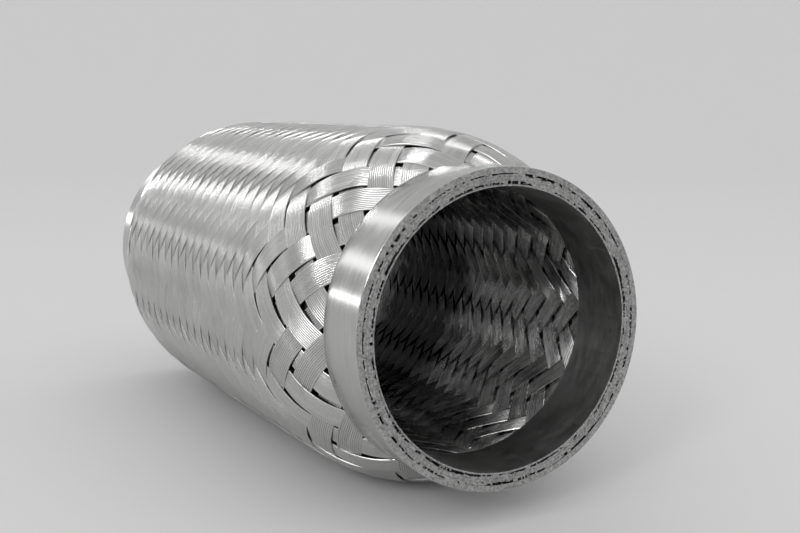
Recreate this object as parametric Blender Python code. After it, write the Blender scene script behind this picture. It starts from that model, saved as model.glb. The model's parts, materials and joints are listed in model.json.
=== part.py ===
"""Braided flexible metal bellows joint for a 2 inch pipe, lying on its side.

The pipe axis is X, the front end is at +X, the origin is half way along on the axis, and Z is up.
Between the two rigid ends the flexible length is eleven short sections, each with a ring of the outer
braid, one bellows convolution and a ring of the inner braid. A joint sits in each gap: the sections
pitch about Y, yaw about Z or slide along X, and together they bend, offset and compress the joint.
Metres throughout.
"""

import math

import bmesh
import bpy

# Driving dimensions
LENGTH = 0.1524
BORE_RADIUS = 0.0254
COLLAR_RADIUS = 0.02885
COLLAR_LENGTH = 0.0132
BODY_RADIUS = 0.0352
MOUTH_RADIUS = 0.0285
SHOULDER_LENGTH = 0.0269
SHOULDER_POWER = 3.2

# Walls and the clearances between the nested layers
RING_WALL = 0.00040
INNER_BRAID_CLAMPED = 0.00045
NECK_WALL = 0.00035
OUTER_BRAID_CLAMPED = 0.00055
LAYER_GAP = 0.00015
OUTER_BRAID_WALL = 0.0012
INNER_BRAID_WALL = 0.0008
BELLOWS_WALL = 0.00035
BELLOWS_CLEARANCE = 0.0004
INNER_BRAID_STEP = 0.0002

# How far out from a section's middle each convolution's crest and side reach, as shares of half its length
CREST_SHARE = 0.40
SIDE_SHARE = 0.52

# The flexible length: the joint in each gap, from the front end to the rear end
FRONT_JOINTS = ("pitch", "yaw", "slide", "pitch", "yaw", "slide")
REAR_JOINTS = ("slide", "yaw", "pitch", "slide", "yaw", "pitch")
JOINT_ORDER = FRONT_JOINTS + REAR_JOINTS
GAP = {"pitch": 0.0020, "yaw": 0.0020, "slide": 0.0034}

FACETS = 24
SHOULDER_STATIONS = 4
CHAMFER = 0.0004
SHARP_ANGLE = math.radians(40)

HALF = LENGTH / 2
LIVE_END = HALF - COLLAR_LENGTH
SECTIONS = len(JOINT_ORDER) - 1
SECTION_LENGTH = (2 * LIVE_END - sum(GAP[kind] for kind in JOINT_ORDER)) / SECTIONS


def clear_scene():
    for obj in list(bpy.data.objects):
        bpy.data.objects.remove(obj, do_unlink=True)


def metal(name, colour, roughness):
    material = bpy.data.materials.new(name)
    material.use_nodes = True
    shader = material.node_tree.nodes["Principled BSDF"]
    shader.inputs["Base Color"].default_value = (*colour, 1.0)
    shader.inputs["Roughness"].default_value = roughness
    shader.inputs["Metallic"].default_value = 1.0
    return material


def pivot(name, parent, x):
    """An empty on the pipe axis at world x, which one moving section hangs from."""
    empty = bpy.data.objects.new(name, None)
    empty.empty_display_size = COLLAR_LENGTH
    bpy.context.scene.collection.objects.link(empty)
    if parent is not None:
        empty.parent = parent
    empty["world_x"] = x
    empty.location = (x - (parent["world_x"] if parent is not None else 0.0), 0.0, 0.0)
    return empty


def turned(name, outline, parent, x, material):
    """A ring turned about the pipe axis from a closed outline of (along the axis, radius) points.

    A radius is measured to the middle of a facet, so the lowest facet lies flat on the floor.
    """
    half_step = math.pi / FACETS
    to_corner = 1 / math.cos(half_step)
    bm = bmesh.new()
    points = []
    for along, radius in outline:
        corner = radius * to_corner
        points.append(bm.verts.new((along, corner * math.cos(half_step), corner * math.sin(half_step))))
    edges = [bm.edges.new((a, b)) for a, b in zip(points, points[1:] + points[:1])]
    bmesh.ops.spin(
        bm,
        geom=points + edges,
        cent=(0.0, 0.0, 0.0),
        axis=(1.0, 0.0, 0.0),
        angle=2 * math.pi,
        steps=FACETS,
        use_merge=True,
    )
    bmesh.ops.recalc_face_normals(bm, faces=bm.faces)
    mesh = bpy.data.meshes.new(name)
    bm.to_mesh(mesh)
    bm.free()
    mesh.shade_smooth()
    mesh.set_sharp_from_angle(angle=SHARP_ANGLE)
    mesh.materials.append(material)
    obj = bpy.data.objects.new(name, mesh)
    bpy.context.scene.collection.objects.link(obj)
    obj.parent = parent
    obj.location = (x - parent["world_x"], 0.0, 0.0)
    return obj


def tube(length, inner, outer, chamfer=0.0):
    """Outline of a plain tube centred on zero, with its outer corners chamfered where asked."""
    end = length / 2
    if not chamfer:
        return [(-end, inner), (end, inner), (end, outer), (-end, outer)]
    return [
        (-end, inner),
        (end, inner),
        (end, outer - chamfer),
        (end - chamfer, outer),
        (chamfer - end, outer),
        (-end, outer - chamfer),
    ]


def braid_radius(x):
    """Outside radius of the outer braid: a rounded shoulder up from each collar's mouth, then straight."""
    behind = LIVE_END - abs(x)
    ahead = 1 - min(behind / SHOULDER_LENGTH, 1.0)
    return MOUTH_RADIUS + (BODY_RADIUS - MOUTH_RADIUS) * (1 - ahead**SHOULDER_POWER)


def braid_outline(middle):
    """Outline of one outer braid ring whose middle is at world x = middle."""
    shoulder = abs(middle) + SECTION_LENGTH / 2 > LIVE_END - SHOULDER_LENGTH
    count = SHOULDER_STATIONS if shoulder else 2
    along = [SECTION_LENGTH * (i / (count - 1) - 0.5) for i in range(count)]
    radii = [braid_radius(middle + a) for a in along]
    inside = [(a, r - OUTER_BRAID_WALL) for a, r in zip(along, radii)]
    outside = [(a, r) for a, r in zip(along, radii)]
    return inside + outside[::-1]


def convolution_outline(middle, root):
    """Outline of one thin-walled bellows convolution: a root each side and a crest between them."""
    end = SECTION_LENGTH / 2
    foot = SIDE_SHARE * end
    top = CREST_SHARE * end
    wall = BELLOWS_WALL
    lowest = min(braid_radius(middle - top), braid_radius(middle + top))
    crest = lowest - OUTER_BRAID_WALL - BELLOWS_CLEARANCE
    under = [
        (-end, root),
        (-foot, root),
        (-top, crest - wall),
        (top, crest - wall),
        (foot, root),
        (end, root),
    ]
    over = [
        (end, root + wall),
        (foot + wall, root + wall),
        (top + wall, crest),
        (-top - wall, crest),
        (-foot - wall, root + wall),
        (-end, root + wall),
    ]
    return under + over


def end_layers():
    """(name, inner radius, outer radius) of the layers clamped in an end, from the bore outwards."""
    walls = (
        ("inner_ring", RING_WALL),
        ("inner_braid_tail", INNER_BRAID_CLAMPED),
        ("bellows_neck", NECK_WALL),
        ("outer_braid_tail", OUTER_BRAID_CLAMPED),
    )
    layers = []
    radius = BORE_RADIUS
    for name, wall in walls:
        layers.append((name, radius, radius + wall))
        radius += wall + LAYER_GAP
    layers.append(("collar", radius, COLLAR_RADIUS))
    return layers


def build_end(side, parent, x, metals):
    for name, inner, outer in end_layers():
        chamfer = CHAMFER if name == "collar" else 0.0
        outline = tube(COLLAR_LENGTH, inner, outer, chamfer)
        turned(side + "_" + name, outline, parent, x, metals[name])


def build_section(number, parent, middle, metals):
    label = f"{number:02d}"
    braid_inner = BORE_RADIUS + INNER_BRAID_STEP
    root = braid_inner + INNER_BRAID_WALL + BELLOWS_CLEARANCE
    inner_outline = tube(SECTION_LENGTH, braid_inner, braid_inner + INNER_BRAID_WALL)
    turned("inner_braid_" + label, inner_outline, parent, middle, metals["inner_braid"])
    turned("bellows_" + label, convolution_outline(middle, root), parent, middle, metals["bellows_neck"])
    turned("outer_braid_" + label, braid_outline(middle), parent, middle, metals["outer_braid"])


def build():
    clear_scene()
    collar_steel = metal("collar_steel", (0.62, 0.62, 0.61), 0.28)
    outer_wire = metal("outer_braid_wire", (0.50, 0.50, 0.49), 0.38)
    inner_wire = metal("inner_braid_wire", (0.36, 0.36, 0.36), 0.45)
    bellows_steel = metal("bellows_sheet", (0.56, 0.56, 0.55), 0.30)
    ring_steel = metal("inner_ring_steel", (0.34, 0.34, 0.34), 0.42)
    metals = {
        "collar": collar_steel,
        "outer_braid": outer_wire,
        "outer_braid_tail": outer_wire,
        "inner_braid": inner_wire,
        "inner_braid_tail": inner_wire,
        "bellows_neck": bellows_steel,
        "inner_ring": ring_steel,
    }
    end_middle = HALF - COLLAR_LENGTH / 2
    parent = pivot("front_end_origin", None, end_middle)
    build_end("front", parent, end_middle, metals)
    edge = LIVE_END
    for number, kind in enumerate(JOINT_ORDER, start=1):
        gap = GAP[kind]
        parent = pivot(f"{kind}_pivot_{number:02d}", parent, edge - gap / 2)
        edge -= gap
        if number <= SECTIONS:
            build_section(number, parent, edge - SECTION_LENGTH / 2, metals)
            edge -= SECTION_LENGTH
    build_end("rear", parent, -end_middle, metals)


build()
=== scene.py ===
import json
import math

import bpy
import numpy as np
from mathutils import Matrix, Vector

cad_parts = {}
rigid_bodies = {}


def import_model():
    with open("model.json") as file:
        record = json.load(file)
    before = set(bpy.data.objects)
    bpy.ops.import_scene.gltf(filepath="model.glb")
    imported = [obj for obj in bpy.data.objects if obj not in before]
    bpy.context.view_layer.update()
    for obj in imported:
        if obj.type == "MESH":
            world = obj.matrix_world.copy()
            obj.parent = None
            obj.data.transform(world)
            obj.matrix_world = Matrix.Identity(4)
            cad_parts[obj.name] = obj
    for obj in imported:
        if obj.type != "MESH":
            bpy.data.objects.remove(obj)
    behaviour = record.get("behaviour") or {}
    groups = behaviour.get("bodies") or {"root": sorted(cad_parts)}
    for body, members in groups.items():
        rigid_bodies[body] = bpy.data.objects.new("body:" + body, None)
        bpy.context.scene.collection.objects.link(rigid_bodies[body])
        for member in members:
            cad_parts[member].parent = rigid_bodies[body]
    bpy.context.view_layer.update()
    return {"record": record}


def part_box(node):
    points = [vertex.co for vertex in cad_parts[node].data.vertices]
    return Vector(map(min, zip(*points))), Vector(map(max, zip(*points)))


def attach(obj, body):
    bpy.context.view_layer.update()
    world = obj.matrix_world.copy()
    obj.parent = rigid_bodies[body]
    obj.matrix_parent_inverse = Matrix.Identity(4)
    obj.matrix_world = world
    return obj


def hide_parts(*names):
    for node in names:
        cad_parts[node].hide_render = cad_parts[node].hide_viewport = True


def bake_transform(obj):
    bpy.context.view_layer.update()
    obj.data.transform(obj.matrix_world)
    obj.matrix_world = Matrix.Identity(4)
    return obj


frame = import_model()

# Lengths are in metres, and the overall ones come from the CAD frame
MM = 0.001
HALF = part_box("front_collar")[1].x
LIVE_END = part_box("front_collar")[0].x
COLLAR_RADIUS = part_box("front_collar")[1].z
BODY_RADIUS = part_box("outer_braid_06")[1].z
SECTIONS = [name for name in frame["record"]["behaviour"]["bodies"] if name.startswith("section")]
BODIES = ["front_end"] + SECTIONS + ["rear_end"]

# Radii of the layers in each end, from the bore outwards
BORE = 25.40 * MM
RING_OUTSIDE = 25.72 * MM
INNER_TAIL = (25.76 * MM, 26.52 * MM)
NECK = (26.54 * MM, 26.96 * MM)
OUTER_TAIL = (26.98 * MM, 27.65 * MM)
COLLAR_INSIDE = 27.68 * MM

# Both braids: bands each way round, how flat a band lies between its two-over, two-under crossings, and
# how the weave grows to its full height behind an end
BANDS = 24
BAND_STEP = 2 * math.pi / BANDS
ROW_TURN = BAND_STEP / 2
FIRST_BAND = math.radians(7)
FLATNESS = 1.2
EASE_OVER = 4.0 * MM
EASE_START = 0.35

# The wires of a band: widest pitch, share of the band's room that they fill, where the valley and the two
# edges of the crest lie across each, and how much of their tone differs by wire and not by band
WIRE = 0.39 * MM
PACKING = 0.97
WIRE_PLACES = (0.0, 0.22, 0.78)
WIRE_TONE_SHARE = 0.6

# Waves along a band: (size, radians per crossing row). Wander, stray, lift and aside are in millimetres
# on a braid as loose as the outer one, roll is a tilt, and spread is a share of the band's width. Only
# the wires within STRAY_EDGE of a band's edge stray, and seldom.
WANDER = (0.08, 0.55)
SECOND_WANDER = (0.04, 1.3)
ROLL = (0.020, 0.8)
SPREAD = (0.02, 0.4)
STRAY = (0.06, 0.35)
LIFT = (0.004, 0.9)
ASIDE = (0.008, 0.7)
STRAY_RARITY = 8
STRAY_EDGE = 1.1

# How far both braids run on inside the ends that clamp them
TUCK = 2.0 * MM

# Outer braid: wires to a band, heights, the shoulder behind each collar's mouth, and crossing rows to the
# metre, which are open behind the collar and close up over a stretch
OUTER_WIRES = 12
OUTER_CREST = 0.17 * MM
OUTER_WAVE = 0.32 * MM
SHOULDER = 26.9 * MM
SHOULDER_POWER = 3.2
MOUTH_RADIUS = 28.05 * MM
MOUTH_LENGTH = 1.6 * MM
MOUTH_EDGE = 0.35 * MM
OPEN_ROWS = 272.0
CLOSE_ROWS = 385.0
CLOSING_FROM = 12.0 * MM
CLOSING_OVER = 20.0 * MM
FIRST_ROW = 0.75 * MM

# Inner braid: the same, and the painted shade that darkens its wires from both ends towards the middle of
# the bore
INNER_WIRES = 9
INNER_CREST = 0.11 * MM
INNER_WAVE = 0.32 * MM
INNER_RADIUS = 25.97 * MM
INNER_STEP = 3.0 * MM
INNER_OPEN_ROWS = 345.0
INNER_CLOSE_ROWS = 488.0
PAINTED_SHADE_MIDDLE = 4.0 * MM
PAINTED_SHADE_FADE = 32.0 * MM

# Bellows between the braids
BELLOWS_ROOT = 27.0 * MM
BELLOWS_WALL = 0.3 * MM
BELLOWS_CLEARANCE = 0.75 * MM
BELLOWS_ROUND = 96
BELLOWS_STEPS = 14

# Shares of a span's length: the neck that lies low in an end span and the rise after it, and half of the
# root between two crests with the rise on each side of it
NECK_LOW = 0.45
NECK_RISE = 0.40
ROOT_LOW = 0.08
ROOT_RISE = 0.30

# Cross-sections of a band to each row, and how slim its tongue inside the next span is
STATIONS_PER_ROW = 6
FEWEST_STATIONS = 3
TONGUE = 0.9

# End faces: points round them, rows of points across each layer, how far behind the face its own points
# reach, and which polygons count as cut
FACE_ROUND = 900
COLLAR_ROWS = 6
TAIL_ROWS = 6
NECK_ROWS = 3
RING_ROWS = 2
FACE_DEPTH = 0.05 * MM
CUT_DEPTH = 1.0 * MM
CUT_SLOPE = 0.75

# Edges of the ring and the collar with the angles of the points on the ring's lip, how far the ring runs
# on past the end, and the gap between a woven braid and the core that carries on to its cut end
LIP = 0.12 * MM
LIP_TURNS = (0, 0.5, 1.05)
CHAMFER = 0.10 * MM
MOUTH_CHAMFER = 0.06 * MM
RING_RUN_ON = 0.5 * MM
RING_CHAMFER = 0.2 * MM
CORE_GAP = 0.2 * MM

# Waves round a ring: (size, count round it, twist in radians along the collar's length). Dents and a
# slit's wander and widening are in millimetres. Arcs show where their sum is over a level.
DENTS = ((0.030, 3, 0), (0.018, 7, 2), (0.010, 11, -3))
SLIT_WANDER = ((0.10, 5, 0), (0.07, 23, 0))
SLIT_WIDENING = ((0.07, 11, 0),)
ARCS = ((1, 3, 0), (1, 8, 0), (1, 17, 0), (1, 37, 0), (1, 71, 0))
ARC_FADE = 0.6

# Pits of the end faces: what grinding leaves, then the slits and specks where a cut braid stands open. A
# slit is deepest at its middle, and it and the specks each miss a share of places. Last comes each
# braid's slit: its radius, and its arcs' level, which is lower by SPECK_EASE for the specks.
COLLAR_GROUND = 0.012 * MM
NECK_GROUND = 0.05 * MM
RING_GROUND = 0.08 * MM
WIRE_PIT = 0.14 * MM
SLIT_DEPTH = 0.6 * MM
SLIT_WIDTH = 0.10 * MM
SLIT_CORE = 1.3
SLIT_MISSED = 0.15
SPECK_MISSED = 0.45
SPECK_EASE = 0.2
OUTER_SLIT = (OUTER_TAIL[1] - 0.10 * MM, 0.9)
INNER_SLIT = (INNER_TAIL[0] + 0.12 * MM, 0.6)

# The torn edge round the bore: least and most that it moves away from the axis, and its arcs' level
TORN = (-0.02 * MM, 0.09 * MM)
TORN_LEVEL = 0.2


# ---------------------------------------------------------------- shapes

def section_middles():
    """World x of the middle of each section, front to rear."""
    middles = []
    for number in range(1, len(SECTIONS) + 1):
        low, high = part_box(f"outer_braid_{number:02d}")
        middles.append((low.x + high.x) / 2)
    return middles


def region_edges():
    """World x of the ends of the twelve spans: both clamped ends, and the middle of each section."""
    return [LIVE_END] + section_middles() + [-LIVE_END]


def smooth(t):
    """A smooth step from 0 to 1 as t goes from 0 to 1."""
    t = np.clip(t, 0.0, 1.0)
    return t * t * (3 - 2 * t)


def rows_from_mouth(behind, open_rows, close_rows):
    """Crossing rows between a collar and a place that far behind it: open at first, then closer."""
    t = np.clip((behind - CLOSING_FROM) / CLOSING_OVER, 0.0, 1.0)
    past = np.maximum(behind - CLOSING_FROM - CLOSING_OVER, 0.0)
    extra = CLOSING_OVER * (t**3 - t**4 / 2) + past
    return open_rows * behind + (close_rows - open_rows) * extra


def rows_at(x, open_rows, close_rows):
    """Crossing rows from the first row behind the front collar to world x, on through the middle."""
    start = rows_from_mouth(FIRST_ROW, open_rows, close_rows)
    middle = rows_from_mouth(LIVE_END, open_rows, close_rows)
    rows = rows_from_mouth(LIVE_END - np.abs(x), open_rows, close_rows)
    return np.where(x >= 0, rows, 2 * middle - rows) - start


def outer_radius(x):
    """Middle of the outer braid: out of the collar's mouth, up a rounded shoulder, then straight."""
    behind = LIVE_END - np.abs(x)
    body = BODY_RADIUS - OUTER_WAVE - OUTER_CREST
    clamped = (OUTER_TAIL[0] + OUTER_TAIL[1]) / 2
    mouth = clamped + (MOUTH_RADIUS - clamped) * smooth(1 + behind / MOUTH_LENGTH)
    ahead = 1 - np.clip(behind / SHOULDER, 0.0, 1.0)
    return mouth + (body - MOUTH_RADIUS) * (1 - ahead**SHOULDER_POWER)


def inner_radius(x):
    """Middle of the inner braid: a little wider where it leaves the ring that clamps it."""
    behind = LIVE_END - np.abs(x)
    clamped = (INNER_TAIL[0] + INNER_TAIL[1]) / 2
    return clamped + (INNER_RADIUS - clamped) * smooth(behind / INNER_STEP)


def weave(u):
    """Height of a band over its neighbours, from -1 to 1: period 4 crossings, flat on top."""
    return np.tanh(FLATNESS * np.cos(np.pi * u / 2)) / math.tanh(FLATNESS)


def ease_in(x):
    """Share of the full weave height: low where an end clamps the braid, and 1 from a little way in."""
    return EASE_START + (1 - EASE_START) * smooth((LIVE_END - np.abs(x)) / EASE_OVER)


def braid_stations(edges, row_count):
    """World x of the cross-sections of every span, with each span's ends among them."""
    stations, starts = [edges[0]], [0]
    for low, high in zip(edges[:-1], edges[1:]):
        rows = abs(float(row_count(np.array(high)) - row_count(np.array(low))))
        steps = max(FEWEST_STATIONS, round(rows * STATIONS_PER_ROW))
        stations += list(np.linspace(low, high, steps + 1)[1:])
        starts.append(len(stations) - 1)
    return np.array(stations), starts


def with_tongue(points, start, end):
    """One span's stations, and past its end a slimmer one that lies inside the next span.

    It fills the crack that would open between two spans that move a little apart.
    """
    span = points[:, start : end + 1]
    if end + 1 == points.shape[1]:
        return span
    ahead = points[:, end + 1 : end + 2]
    middle = ahead.mean(axis=2, keepdims=True)
    return np.concatenate([span, middle + TONGUE * (ahead - middle)], axis=1)


def wire_numbers(places):
    """The wire that each place round a band belongs to; the band's back counts as one more."""
    return np.arange(places) // len(WIRE_PLACES)


def band_profile(style):
    """One band's cross-section: places across it, counted in wires, and each place's height."""
    wires = style["wires"]
    crest = style["crest"]
    across = (np.arange(wires)[:, None] + np.array(WIRE_PLACES)).ravel() - wires / 2
    across = np.append(across, [wires / 2, wires / 2, -wires / 2])
    height = np.append(np.tile([0.0, crest, crest], wires), [0.0, -crest, -crest])
    return across, height


def angle_per_metre(x, style):
    """Angle round the pipe that a metre straight across a band covers, at each station."""
    step = 0.01 * MM
    steepest = 3.0
    radius = style["radius"](x)
    slope = (style["radius"](x + step) - style["radius"](x - step)) / (2 * step)
    slope = np.clip(slope, -steepest, steepest)
    row_rate = np.abs(style["rows"](x - step) - style["rows"](x + step)) / (2 * step)
    lean = radius * ROW_TURN * row_rate / np.sqrt(1 + slope**2)
    return np.sqrt(1 + lean**2) / radius


def swing(kind, rows, phase):
    """A slow wave along the rows: kind is its size and its rate."""
    size, rate = kind
    return size * np.sin(rate * rows + phase)


def band_points(x, turn_sign, style, random):
    """Points of all the bands that turn one way: an array of band, station, place round the band, xyz.

    Each band wanders a little, and each wire lies a little high, low or aside.
    """
    wires = style["wires"]
    loose = style["loose"] * MM
    per_metre = angle_per_metre(x, style)
    pitch = np.minimum(WIRE, PACKING * BAND_STEP / per_metre / wires)
    across, height = band_profile(style)
    wire = wire_numbers(len(across))
    bands = np.arange(BANDS)[:, None, None]
    rows = style["rows"](x)[None, :, None]
    radius = style["radius"](x)[None, :, None]
    x = x[None, :, None]

    phase = random.uniform(0, 2 * math.pi, (4, BANDS, 1, 1))
    wire_phase = random.uniform(0, 2 * math.pi, (2, BANDS, 1, wires + 1))[..., wire]
    wander = loose * (swing(WANDER, rows, phase[0]) + swing(SECOND_WANDER, rows, phase[1]))
    roll = swing(ROLL, rows, phase[2])
    spread = 1 + swing(SPREAD, rows, phase[3])
    at_edge = np.abs(across) > wires / 2 - STRAY_EDGE
    outward = np.maximum(np.sin(STRAY[1] * rows + wire_phase[0]), 0) ** STRAY_RARITY
    stray = STRAY[0] * loose * at_edge * outward
    lift = loose * swing(LIFT, rows, wire_phase[0]) + stray
    aside = loose * swing(ASIDE, rows, wire_phase[1])
    aside[..., -2:] = 0

    reach = across * pitch[None, :, None] * spread + wander + aside
    offset = reach * per_metre[None, :, None]
    angle = FIRST_BAND + BAND_STEP * bands + turn_sign * ROW_TURN * rows + offset
    crossing = 2 * bands + turn_sign * rows + offset / BAND_STEP - 0.5
    wave = turn_sign * style["wave"] * ease_in(x) * weave(crossing)
    out = wave + height + lift + roll * WIRE * across
    distance = radius + style["facing"] * out
    along = np.broadcast_to(x, angle.shape)
    return np.stack([along, distance * np.cos(angle), distance * np.sin(angle)], axis=-1)


def outer_style():
    """What sets the outer braid apart. Its last entry gives the share of a wire's tone that painted shade
    leaves at x; the outer braid has no painted shade.
    """
    return {
        "rows": lambda x: rows_at(x, OPEN_ROWS, CLOSE_ROWS),
        "radius": outer_radius,
        "wires": OUTER_WIRES,
        "wave": OUTER_WAVE,
        "crest": OUTER_CREST,
        "loose": 1.0,
        "contrast": 0.7,
        "facing": 1,
        "left_by_painted_shade": np.ones_like,
    }


def inner_style():
    """The same for the inner braid, whose wires face the bore and get painted shade deeper in it."""
    return {
        "rows": lambda x: rows_at(x, INNER_OPEN_ROWS, INNER_CLOSE_ROWS),
        "radius": inner_radius,
        "wires": INNER_WIRES,
        "wave": INNER_WAVE,
        "crest": INNER_CREST,
        "loose": 0.3,
        "contrast": 0.35,
        "facing": -1,
        # painted shade: the wires' tone falls to dark towards the middle of the bore, where little light
        # reaches
        "left_by_painted_shade": lambda x: smooth((np.abs(x) - PAINTED_SHADE_MIDDLE) / PAINTED_SHADE_FADE),
    }


def ribbon_mesh(name, points, facing):
    """A mesh of closed ribbons from points[ribbon, station, place], sharp between the wires."""
    ribbons, stations, places, _ = points.shape
    index = np.arange(ribbons * stations * places).reshape(ribbons, stations, places)
    here, ahead = index[:, :-1], index[:, 1:]
    quads = np.stack([here, ahead, np.roll(ahead, -1, 2), np.roll(here, -1, 2)], axis=-1).reshape(-1, 4)
    caps = np.concatenate([index[:, 0], index[:, -1, ::-1]])
    if facing < 0:
        quads, caps = quads[:, ::-1], caps[:, ::-1]
    corners = np.concatenate([quads.ravel(), caps.ravel()])
    sizes = np.concatenate([np.full(len(quads), 4), np.full(len(caps), places)])
    mesh = mesh_from_arrays(name, points.reshape(-1, 3), corners, sizes)
    ends = np.empty(len(mesh.edges) * 2, dtype=np.int32)
    mesh.edges.foreach_get("vertices", ends)
    a, b = ends.reshape(-1, 2).T
    place, station = a % places, (a // places) % stations
    along = place == b % places
    valley = (place % len(WIRE_PLACES) == 0) | (place >= places - 2)
    capped = ~along & ((station == 0) | (station == stations - 1))
    mark_sharp(mesh, (along & valley) | capped)
    return mesh


def mesh_from_arrays(name, points, corners, sizes):
    mesh = bpy.data.meshes.new(name)
    mesh.vertices.add(len(points))
    mesh.vertices.foreach_set("co", points.astype(np.float32).ravel())
    mesh.loops.add(len(corners))
    mesh.loops.foreach_set("vertex_index", corners.astype(np.int32))
    mesh.polygons.add(len(sizes))
    starts = np.concatenate([[0], np.cumsum(sizes)[:-1]])
    mesh.polygons.foreach_set("loop_start", starts.astype(np.int32))
    mesh.update(calc_edges=True)
    mesh.validate()
    mesh.shade_smooth()
    return mesh


def mark_sharp(mesh, sharp):
    """Mark the edges for which sharp is true."""
    attribute = mesh.attributes.new("sharp_edge", "BOOLEAN", "EDGE")
    attribute.data.foreach_set("value", sharp)


def add_value(mesh, name, values):
    """Store one value at each point, for the materials to read."""
    attribute = mesh.attributes.new(name, "FLOAT", "POINT")
    attribute.data.foreach_set("value", values.astype(np.float32).ravel())


def show(name, mesh, material):
    """An object in the scene with this mesh and material."""
    obj = bpy.data.objects.new(name, mesh)
    bpy.context.scene.collection.objects.link(obj)
    mesh.materials.append(material)
    return obj


def neighbours(prefix, span):
    """CAD rings that the span between bodies span and span + 1 stands for."""
    numbers = [n for n in (span, span + 1) if 1 <= n <= len(SECTIONS)]
    return [f"{prefix}_{n:02d}" for n in numbers]


def place_span(piece, span, prefix):
    """Hide the CAD rings that a span stands for, and bake its placement into its mesh."""
    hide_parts(*neighbours(prefix, span))
    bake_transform(piece)


def build_braid(prefix, style, material, seed):
    """One braid, as twelve spans that each reach across one joint."""
    random = np.random.default_rng(seed)
    edges = region_edges()
    run = [LIVE_END + TUCK] + edges[1:-1] + [-LIVE_END - TUCK]
    x, starts = braid_stations(run, style["rows"])
    both = [band_points(x, sign, style, random) for sign in (1, -1)]
    points = np.concatenate(both)
    places = points.shape[2]
    wire_tone = random.uniform(0, 1, (len(points), 1, places))[:, :, wire_numbers(places)]
    band_tone = random.uniform(0, 1, (len(points), 1, 1))
    mixed = WIRE_TONE_SHARE * wire_tone + (1 - WIRE_TONE_SHARE) * band_tone
    tone = 0.5 + style["contrast"] * (mixed - 0.5)
    for span in range(len(BODIES) - 1):
        part = with_tongue(points, starts[span], starts[span + 1])
        mesh = ribbon_mesh(f"{prefix}_span_{span + 1:02d}", part, style["facing"])
        # for the inner braid the stored tone carries painted shade deep in the bore
        left_by_painted_shade = style["left_by_painted_shade"](x[starts[span] : starts[span] + part.shape[1]])[None, :, None]
        add_value(mesh, "tone", np.broadcast_to(tone * left_by_painted_shade, part.shape[:3]))
        piece = show(mesh.name, mesh, material)
        place_span(piece, span, prefix)


def turned_mesh(name, outline, around, wobble=None, pits=None, sharp_angle=30):
    """A ring turned about the pipe axis from a closed outline of (x, radius) that runs anticlockwise.

    A wobble moves points in and out, and pits sink the points of the end face by a depth.
    """
    outline = np.array(outline)
    angle = np.arange(around) * 2 * math.pi / around
    x = np.broadcast_to(outline[:, 0], (around, len(outline)))
    radius = np.broadcast_to(outline[:, 1], x.shape)
    if pits is not None:
        on_face = np.abs(x) > HALF - FACE_DEPTH
        x = x - np.sign(x) * on_face * pits(radius, angle[:, None])
    if wobble is not None:
        radius = radius + wobble(x, angle[:, None])
    points = np.stack([x, radius * np.cos(angle)[:, None], radius * np.sin(angle)[:, None]], axis=-1)
    index = np.arange(around * len(outline)).reshape(around, -1)
    ahead = np.roll(index, -1, 0)
    quads = np.stack([index, np.roll(index, -1, 1), np.roll(ahead, -1, 1), ahead], axis=-1).reshape(-1, 4)
    mesh = mesh_from_arrays(name, points.reshape(-1, 3), quads.ravel(), np.full(len(quads), 4))
    mesh.set_sharp_from_angle(angle=math.radians(sharp_angle))
    return mesh


def mirrored(outline):
    """The same outline at the rear end, still anticlockwise."""
    return [(-x, r) for x, r in reversed(outline)]


def bellows_lift(span, t):
    """How far the bellows stands up from its root, from 0 to 1, at a share t of the way along a span."""
    if span == 0:
        return smooth((t - NECK_LOW) / NECK_RISE)
    if span == len(BODIES) - 2:
        return smooth((1 - NECK_LOW - t) / NECK_RISE)
    return smooth((abs(t - 0.5) - ROOT_LOW) / ROOT_RISE)


def bellows_outline(span, low, high):
    """Closed outline of one span of the thin corrugated wall, from crest to crest."""
    outside, inside = [], []
    for i in range(BELLOWS_STEPS + 1):
        t = i / BELLOWS_STEPS
        x = low + (high - low) * t
        crest = float(outer_radius(x)) - OUTER_WAVE - BELLOWS_CLEARANCE - OUTER_CREST
        radius = BELLOWS_ROOT + (crest - BELLOWS_ROOT) * float(bellows_lift(span, t))
        outside.append((x, radius))
        inside.append((x, radius - BELLOWS_WALL))
    return outside + inside[::-1]


def build_bellows(material):
    """The corrugated tube, in twelve spans that each reach across one joint."""
    edges = region_edges()
    for span in range(len(BODIES) - 1):
        outline = bellows_outline(span, edges[span], edges[span + 1])
        mesh = turned_mesh(f"bellows_span_{span + 1:02d}", outline, BELLOWS_ROUND, sharp_angle=80)
        piece = show(mesh.name, mesh, material)
        place_span(piece, span, "bellows")


def face_outline(low, inner, outer, rows):
    """Outline of a thin layer whose end face is divided into rows from its inner to its outer edge."""
    radii = np.linspace(inner, outer, rows + 1)
    return [(low, inner)] + [(HALF, float(radius)) for radius in radii] + [(low, outer)]


def ripple(waves, phases, angle, along=0.0):
    """Waves round a ring, added up."""
    total = 0.0
    for (size, count, twist), phase in zip(waves, phases):
        total = total + size * np.sin(count * angle + phase + twist * along)
    return total


def broken_arcs(angle, phases, level):
    """Arcs of uneven length round a ring: 1 on them and 0 between, fewer for a higher level."""
    return smooth((ripple(ARCS, phases, angle) - level) / ARC_FADE)


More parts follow.
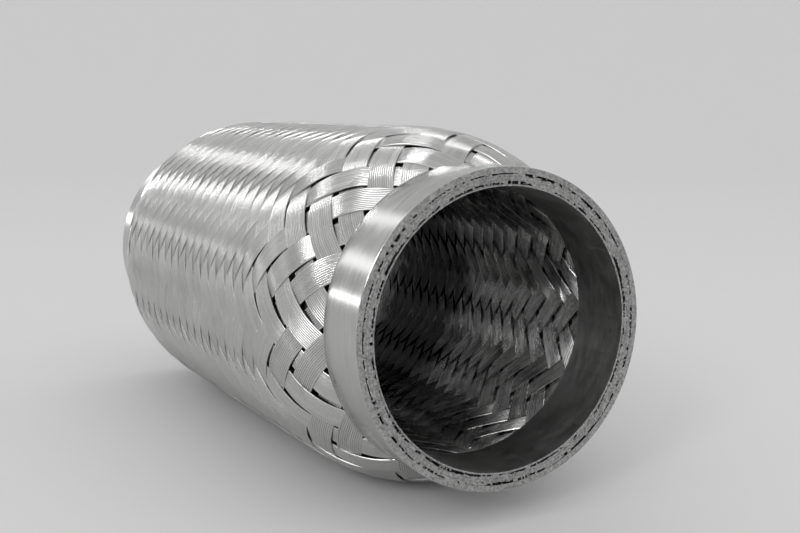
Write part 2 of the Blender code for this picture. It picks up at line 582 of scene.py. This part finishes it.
def cut_braid(random, slit, level):
    """Pits of a braid cut off and ground flush: one at each wire, and broken slits about a radius."""
    phases = random.uniform(0, 2 * math.pi, (3, len(ARCS)))

    def pits(radius, angle):
        chance = random.uniform(0, 1, radius.shape)
        along = random.uniform(0, 1, (len(angle), 1))
        middle = slit + MM * ripple(SLIT_WANDER, phases[2], angle)
        width = SLIT_WIDTH * (1 + chance) + MM * ripple(SLIT_WIDENING, phases[2, 2:], angle)
        near = np.clip(SLIT_CORE - np.abs(radius - middle) / width, 0, 1)
        slits = near * broken_arcs(angle, phases[0], level) * (along > SLIT_MISSED)
        specks = near * broken_arcs(3 * angle, phases[1], level - SPECK_EASE) * (chance > SPECK_MISSED)
        return WIRE_PIT * chance**3 + SLIT_DEPTH * np.maximum(slits, specks)

    return pits


def ground(random, depth):
    """Pits of a face ground flat, up to a small depth."""
    return lambda radius, angle: depth * random.uniform(0, 1, radius.shape) ** 2


def ring_dents(random):
    """Two wobbles of a rolled and pressed ring: plain, and with the torn edge that grinding leaves."""
    phases = random.uniform(0, 2 * math.pi, 6)

    def dented(x, angle):
        along = (np.abs(x) - LIVE_END) / (HALF - LIVE_END)
        return MM * ripple(DENTS, phases, angle, along)

    def dented_and_torn(x, angle):
        at_lip = np.abs(x) > HALF - LIP - 0.01 * MM
        torn = at_lip * random.uniform(*TORN, np.shape(x))
        return dented(x, angle) + torn * broken_arcs(angle, phases[1:], TORN_LEVEL)

    return dented, dented_and_torn


def collar_outline():
    """The collar: a ground face, small chamfers, and a thin edge at its mouth that flares inside."""
    deep = LIVE_END + MOUTH_LENGTH
    outline = face_outline(deep, COLLAR_INSIDE, COLLAR_RADIUS - CHAMFER, COLLAR_ROWS)[:-1]
    outline += [
        (HALF - CHAMFER, COLLAR_RADIUS),
        (LIVE_END + CHAMFER, COLLAR_RADIUS),
        (LIVE_END, COLLAR_RADIUS - MOUTH_CHAMFER),
        (LIVE_END, COLLAR_RADIUS - MOUTH_EDGE),
    ]
    return outline


def bore_ring_outline():
    """The inner ring: a rounded lip at the face, and a small chamfer at its inner end."""
    deep = LIVE_END - RING_RUN_ON
    outline = [(deep, RING_OUTSIDE), (deep, BORE + LIP), (deep + RING_CHAMFER, BORE)]
    outline.append((HALF - 3 * LIP, BORE))
    for turn in LIP_TURNS:
        outline.append((HALF - LIP * (1 - math.sin(turn)), BORE + LIP * (1 - math.cos(turn))))
    return outline + face_outline(HALF, BORE + LIP, RING_OUTSIDE, RING_ROWS)[1:-1]


def mark_cut_face(mesh):
    """Give the polygons of a layer's ground end face the mesh's second material."""
    across = np.array([abs(polygon.normal.x) > CUT_SLOPE for polygon in mesh.polygons])
    far_out = np.array([abs(polygon.center.x) > HALF - CUT_DEPTH for polygon in mesh.polygons])
    mesh.polygons.foreach_set("material_index", (across & far_out).astype(np.int32))


def build_end(side, face, metals, seed):
    """The clamped stack of one end: inner ring, braid tails, neck and collar, ground flush together."""
    random = np.random.default_rng(seed)
    dented, dented_and_torn = ring_dents(random)

    def add(name, outline, material, node, wobble, pits):
        outline = outline if face > 0 else mirrored(outline)
        mesh = turned_mesh(f"{side}_{name}", outline, FACE_ROUND, wobble, pits)
        piece = show(mesh.name, mesh, metals[material])
        mesh.materials.append(metals["cut"])
        mark_cut_face(mesh)
        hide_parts(f"{side}_{node}")
        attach(piece, side + "_end")

    def add_tail(braid, radii, slit):
        tail = face_outline(LIVE_END + TUCK + CORE_GAP, *radii, TAIL_ROWS)
        pits = cut_braid(random, *slit)
        node = f"{braid}_braid_tail"
        add(f"{braid}_tail_core", tail, "recess", node, None, pits)

    pits = ground(random, COLLAR_GROUND)
    add("collar_sleeve", collar_outline(), "collar", "collar", dented, pits)
    add_tail("outer", OUTER_TAIL, OUTER_SLIT)
    neck = face_outline(LIVE_END, *NECK, NECK_ROWS)
    add("neck_sheet", neck, "bellows", "bellows_neck", None, ground(random, NECK_GROUND))
    add_tail("inner", INNER_TAIL, INNER_SLIT)
    ring = bore_ring_outline()
    pits = ground(random, RING_GROUND)
    add("bore_ring", ring, "ring", "inner_ring", dented_and_torn, pits)


# ---------------------------------------------------------------- materials

# Values that noise mostly takes, and the height of fine relief
NOISE_RANGE = (0.25, 0.75)
RELIEF = 0.02 * MM


def link(tree, source, target):
    tree.links.new(source, target)


def noise(tree, scale, stretch):
    """Fine noise in the piece's own space, finer along an axis that has a larger stretch."""
    place = tree.nodes.new("ShaderNodeTexCoord")
    mapping = tree.nodes.new("ShaderNodeMapping")
    mapping.inputs["Scale"].default_value = stretch
    link(tree, place.outputs["Object"], mapping.inputs["Vector"])
    grain = tree.nodes.new("ShaderNodeTexNoise")
    grain.inputs["Scale"].default_value = scale
    grain.inputs["Detail"].default_value = 4.0
    link(tree, mapping.outputs["Vector"], grain.inputs["Vector"])
    return grain.outputs["Fac"]


def mixed_with(tree, value, attribute):
    """A value mixed with one that the mesh's points carry."""
    reader = tree.nodes.new("ShaderNodeAttribute")
    reader.attribute_name = attribute
    mix = tree.nodes.new("ShaderNodeMix")
    mix.inputs["Factor"].default_value = 0.6
    link(tree, value, mix.inputs["A"])
    link(tree, reader.outputs["Fac"], mix.inputs["B"])
    return mix.outputs["Result"]


def grey_ramp(tree, value, dark, light):
    """A grey from dark to light, a touch warm, over the values that noise mostly takes."""
    ramp = tree.nodes.new("ShaderNodeValToRGB")
    for element, position, grey in zip(ramp.color_ramp.elements, NOISE_RANGE, (dark, light)):
        element.position = position
        element.color = (grey, grey, grey * 0.99, 1.0)
    link(tree, value, ramp.inputs["Fac"])
    return ramp.outputs["Color"]


def roughness_range(tree, value, middle, spread):
    """Roughness that varies about its middle over the same values."""
    scale = tree.nodes.new("ShaderNodeMapRange")
    scale.inputs["From Min"].default_value = NOISE_RANGE[0]
    scale.inputs["From Max"].default_value = NOISE_RANGE[1]
    scale.inputs["To Min"].default_value = middle - spread
    scale.inputs["To Max"].default_value = middle + spread
    link(tree, value, scale.inputs["Value"])
    return scale.outputs["Result"]


def fine_relief(tree, height, strength):
    """Surface normals of very fine relief."""
    bump = tree.nodes.new("ShaderNodeBump")
    bump.inputs["Strength"].default_value = strength
    bump.inputs["Distance"].default_value = RELIEF
    link(tree, height, bump.inputs["Height"])
    return bump.outputs["Normal"]


def steel(name, greys, rough, grain, attribute=None, stretch=(1.0, 1.0, 1.0), edge=1.0):
    """Bare metal. Greys are dark and light, rough is middle and spread, grain is scale and relief.

    Its tone and roughness follow noise, and a value of the mesh's points where an attribute is named.
    Edge tints what it reflects at a glancing angle.
    """
    material = bpy.data.materials.new(name)
    material.use_nodes = True
    tree = material.node_tree
    shader = tree.nodes["Principled BSDF"]
    shader.inputs["Metallic"].default_value = 1.0
    shader.inputs["Specular Tint"].default_value = (edge, edge, edge, 1.0)
    scale, strength = grain
    height = noise(tree, scale, stretch)
    value = mixed_with(tree, height, attribute) if attribute else height
    link(tree, grey_ramp(tree, value, *greys), shader.inputs["Base Color"])
    link(tree, roughness_range(tree, value, *rough), shader.inputs["Roughness"])
    link(tree, fine_relief(tree, height, strength), shader.inputs["Normal"])
    return material


def paper():
    """Pale matt paper for the floor."""
    material = bpy.data.materials.new("floor_paper")
    material.use_nodes = True
    shader = material.node_tree.nodes["Principled BSDF"]
    shader.inputs["Base Color"].default_value = (0.78, 0.78, 0.78, 1.0)
    shader.inputs["Roughness"].default_value = 0.9
    shader.inputs["Specular IOR Level"].default_value = 0.2
    return material


def make_metals():
    """Every metal by its use. Drawn and rolled sheets have their noise drawn out round the pipe."""
    drawn, rolled = (3.0, 0.5, 0.5), (2.0, 0.6, 0.6)
    fine = (250.0, 0.03)
    return {
        "wire": steel("outer_wire", (0.46, 0.62), (0.23, 0.05), fine, "tone"),
        # the inner wires' darkest grey is the painted shade deep in the bore
        "liner": steel("inner_wire", (0.03, 0.72), (0.27, 0.05), fine, "tone", edge=0.55),
        # the bellows steel is painted near-black as the shade between the two braids
        "bellows": steel("bellows_sheet", (0.06, 0.14), (0.45, 0.08), (500.0, 0.2)),
        "collar": steel("collar_sheet", (0.44, 0.54), (0.17, 0.04), (350.0, 0.05), stretch=drawn),
        "ring": steel("ring_sheet", (0.58, 0.72), (0.34, 0.06), (450.0, 0.2), stretch=rolled),
        "cut": steel("ground_steel", (0.17, 0.58), (0.42, 0.14), (2200.0, 0.9)),
        # the walls of the slits in the end faces are painted near-black as the shade in those gaps
        "recess": steel("slit_painted_shade", (0.02, 0.10), (0.60, 0.10), (1500.0, 0.5)),
    }


# ---------------------------------------------------------------- stage

FLOOR = -BODY_RADIUS

# The camera: its place in collar radii, its direction, and its lens in millimetres
CAMERA_AT = (HALF + 5.995 * COLLAR_RADIUS, -3.794 * COLLAR_RADIUS, 1.346 * COLLAR_RADIUS)
CAMERA_YAW = math.radians(152.83)
CAMERA_DOWN = math.radians(7.66)
CAMERA_LENS = 53.3


def make_camera():
    camera = bpy.data.objects.new("camera", bpy.data.cameras.new("camera"))
    bpy.context.scene.collection.objects.link(camera)
    camera.data.sensor_width = 36.0
    camera.data.lens = CAMERA_LENS
    camera.data.clip_start = 0.01
    camera.data.clip_end = 50.0
    level = math.cos(CAMERA_DOWN)
    forward = Vector((level * math.cos(CAMERA_YAW), level * math.sin(CAMERA_YAW), -math.sin(CAMERA_DOWN)))
    camera.location = CAMERA_AT
    camera.rotation_mode = "QUATERNION"
    camera.rotation_quaternion = forward.to_track_quat("-Z", "Y")
    bpy.context.scene.camera = camera


def make_floor():
    """A round paper sweep: flat under the part, then curving up all the way round."""
    flat, flat_rings = 1.2, 4
    bend, rises = 3.0, 32
    steep = math.radians(80)
    turns = 96
    rings = [(flat * i / flat_rings, 0.0) for i in range(1, flat_rings + 1)]
    for i in range(1, rises + 1):
        a = steep * i / rises
        rings.append((flat + bend * math.sin(a), bend * (1 - math.cos(a))))
    points = [(0.0, 0.0, FLOOR)]
    for radius, height in rings:
        for turn in range(turns):
            a = 2 * math.pi * turn / turns
            points.append((radius * math.cos(a), radius * math.sin(a), FLOOR + height))
    faces = [(0, 1 + turn, 1 + (turn + 1) % turns) for turn in range(turns)]
    for ring in range(len(rings) - 1):
        for turn in range(turns):
            here, ahead = 1 + ring * turns + turn, 1 + ring * turns + (turn + 1) % turns
            faces.append((here, here + turns, ahead + turns, ahead))
    mesh = bpy.data.meshes.new("floor")
    mesh.from_pydata(points, [], faces)
    mesh.shade_smooth()
    floor = show("floor", mesh, paper())


def receivers(name):
    """The collection of what some lamps light: "part", "liner" for the inner braid, or "floor"."""
    return bpy.data.collections.get(name) or bpy.data.collections.new(name)


def softbox(name, toward, distance, width, height, radiance, lights=None):
    """A rectangular lamp in a direction from the part, facing it, that the camera doesn't see."""
    light = bpy.data.lights.new(name, "AREA")
    light.shape = "RECTANGLE"
    light.size = width
    light.size_y = height
    light.energy = radiance * math.pi * width * height
    lamp = bpy.data.objects.new(name, light)
    bpy.context.scene.collection.objects.link(lamp)
    away = Vector(toward).normalized()
    lamp.location = away * distance
    lamp.rotation_mode = "QUATERNION"
    lamp.rotation_quaternion = (-away).to_track_quat("-Z", "Y")
    lamp.visible_camera = False
    if lights:
        lamp.light_linking.receiver_collection = receivers(lights)


def make_world():
    world = bpy.data.worlds.new("studio")
    world.use_nodes = True
    world.node_tree.nodes["Background"].inputs["Color"].default_value = (1.0, 1.0, 1.0, 1.0)
    world.node_tree.nodes["Background"].inputs["Strength"].default_value = 0.78
    bpy.context.scene.world = world
    bpy.context.scene.view_settings.view_transform = "Standard"


def sort_receivers():
    """Put every piece into the collections that lamps light."""
    for piece in bpy.context.scene.objects:
        if piece.type == "MESH":
            receivers("floor" if piece.name == "floor" else "part").objects.link(piece)
            if piece.name.startswith("inner_braid"):
                receivers("liner").objects.link(piece)


def make_lights():
    """Small bright windows that the steel reflects as streaks: direction, distance, size, radiance."""
    softbox("low_window", (-0.87, -0.49, 0.07), 1.2, 0.9, 0.045, 4.0, "part")
    softbox("upper_window", (-0.88, -0.35, 0.29), 1.2, 0.9, 0.10, 1.5, "part")
    softbox("top_window", (-0.89, -0.13, 0.43), 1.2, 0.10, 0.30, 1.3, "part")
    softbox("high_window", (-0.68, -0.34, 0.65), 2.0, 0.42, 0.34, 22.0, "part")
    softbox("rear_window", (-0.64, 0.38, 0.67), 2.0, 0.36, 0.34, 14.0, "part")
    softbox("side_window", (0.55, -0.70, 0.45), 2.0, 0.34, 0.50, 8.0)
    softbox("rear_floor_glow", (-0.974, -0.130, -0.187), 0.139, 0.030, 0.010, 10.0, "liner")
    softbox("rear_door", (-0.965, 0.17, 0.18), 1.2, 0.16, 0.16, 6.0, "liner")
    softbox("bore_window", (0.56, -0.70, 0.44), 2.0, 0.24, 0.24, 130.0, "liner")
    softbox("bore_skylight", (0.42, -0.50, 0.76), 2.0, 0.30, 0.30, 110.0, "liner")
    softbox("floor_fill", (0.70, -0.60, 0.40), 2.0, 1.2, 0.8, 2.2, "floor")


def main():
    metals = make_metals()
    build_braid("outer_braid", outer_style(), metals["wire"], 11)
    build_braid("inner_braid", inner_style(), metals["liner"], 23)
    build_bellows(metals["bellows"])
    build_end("front", 1, metals, 5)
    build_end("rear", -1, metals, 6)
    make_camera()
    make_floor()
    make_world()
    sort_receivers()
    make_lights()


main()
